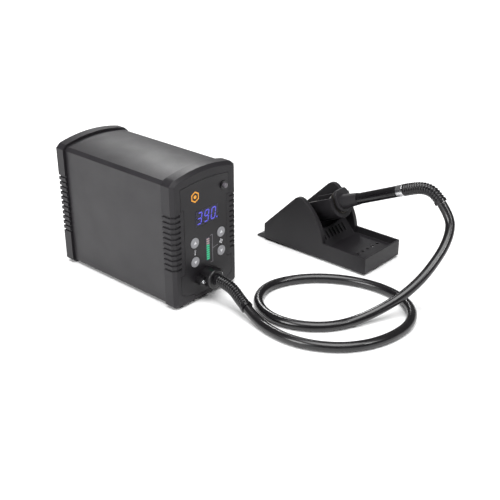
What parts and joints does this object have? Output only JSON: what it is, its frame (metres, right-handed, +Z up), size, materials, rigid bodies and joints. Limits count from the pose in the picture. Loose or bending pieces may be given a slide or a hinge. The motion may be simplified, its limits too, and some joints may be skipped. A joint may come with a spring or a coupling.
{
  "type": "soldering iron station",
  "caption": "Digital hot-air soldering station: arched case with a display and keys, thick air hose, hot-air tool resting in a separate stand with a tray.",
  "frame": {"origin": "on the table, at the middle of the box round the station, the stand and the tool, hose left out", "axes": "+Z up from the table; the station's front panel faces -Y; the stand is on the station's +X side"},
  "size_m": [0.2838, 0.4135, 0.158],
  "materials": {
    "case_plastic": "fine satin grain, charcoal",
    "cover_paint": "fine powder coat, charcoal",
    "plate_steel": "plain zinc-plated sheet",
    "panel": "satin overlay, near black",
    "window": "smoked clear plastic lens",
    "module": "moulded display block",
    "key": "moulded grey key with printed arrow",
    "button": "light grey cap",
    "black_plastic": "moulded, fine grain",
    "rocker": "moulded, smooth",
    "board": "solder-masked laminate",
    "screw": "zinc-plated screws",
    "pillar": "turned",
    "transformer": "varnished core and taped coil",
    "pump": "painted pump body",
    "capacitor": "sleeved can",
    "rubber": "soft black rubber",
    "hose": "smooth black silicone hose, satin",
    "stand_plastic": "moulded stand, charcoal, fine grain",
    "dowel": "ground pins",
    "grip": "heat-resistant moulding",
    "handle": "smooth gloss black",
    "ring": "polished",
    "hot_steel": "stainless, slightly heat-tinted",
    "ceramic": "ceramic heater body"
  },
  "bodies": {
    "station_and_stand": {"front_bezel": "case_plastic", "rear_bezel": "case_plastic", "outer_cover": "cover_paint", "base_plate": "plate_steel", "stand_base": "plate_steel", "front_panel": "panel", "display_window": "window", "bar_window": "window", "display_module": "module", "bar_module": "module", "power_collar": "black_plastic", "hose_flange": "black_plastic", "switch_housing": "black_plastic", "mains_inlet": "black_plastic", "fuse_drawer": "black_plastic", "power_switch": "black_plastic", "tact_switches": "black_plastic", "control_board": "board", "main_board": "board", "board_screws": "screw", "cover_screws": "screw", "flange_screws": "screw", "board_pillars": "pillar", "heat_sink": "pillar", "transformer": "transformer", "air_pump": "pump", "capacitors": "capacitor", "rubber_feet": "rubber", "stand_feet": "rubber", "pump_mounts": "rubber", "air_tube": "rubber", "station_boot": "rubber", "air_hose": "hose", "stand_body": "stand_plastic", "tool_cradle": "stand_plastic", "cradle_dowels": "dowel"},
    "hot_air_tool": {"tool_guard": "grip", "heater_shroud": "hot_steel", "heater_tube": "hot_steel", "heater_core": "ceramic", "nozzle": "hot_steel", "handle_grip": "grip", "handle_tube": "handle", "handle_ring": "ring", "handle_boot": "rubber"},
    "heat_up_key_body": {"heat_up_key": "key"},
    "heat_down_key_body": {"heat_down_key": "key"},
    "air_up_key_body": {"air_up_key": "key"},
    "air_down_key_body": {"air_down_key": "key"},
    "power_button_body": {"power_button": "button"},
    "mains_rocker_body": {"mains_rocker": "rocker"}
  },
  "joints": [
    {"name": "heat_up_key_press", "type": "slide", "parent": "station_and_stand", "child": "heat_up_key_body", "axis": [0, 1, 0], "range_m": [0, 0.0005], "stiffness_N_per_m": 800, "springref_m": -0.0005},
    {"name": "heat_down_key_press", "type": "slide", "parent": "station_and_stand", "child": "heat_down_key_body", "axis": [0, 1, 0], "range_m": [0, 0.0005], "stiffness_N_per_m": 800, "springref_m": -0.0005},
    {"name": "air_up_key_press", "type": "slide", "parent": "station_and_stand", "child": "air_up_key_body", "axis": [0, 1, 0], "range_m": [0, 0.0005], "stiffness_N_per_m": 800, "springref_m": -0.0005},
    {"name": "air_down_key_press", "type": "slide", "parent": "station_and_stand", "child": "air_down_key_body", "axis": [0, 1, 0], "range_m": [0, 0.0005], "stiffness_N_per_m": 800, "springref_m": -0.0005},
    {"name": "power_button_press", "type": "slide", "parent": "station_and_stand", "child": "power_button_body", "axis": [0, 1, 0], "range_m": [0, 0.002], "stiffness_N_per_m": 300, "springref_m": -0.002},
    {"name": "mains_rocker_tilt", "type": "hinge", "parent": "station_and_stand", "child": "mains_rocker_body", "pos_m": [-0.0739, 0.16125, 0.04], "axis": [0, 0, 1], "range_deg": [0, 14]},
    {"name": "tool_withdrawal", "type": "slide", "parent": "station_and_stand", "child": "hot_air_tool", "axis": [0, -0.9125, 0.4091], "range_m": [0, 0.08], "deforming": ["air_hose"]}
  ]
}
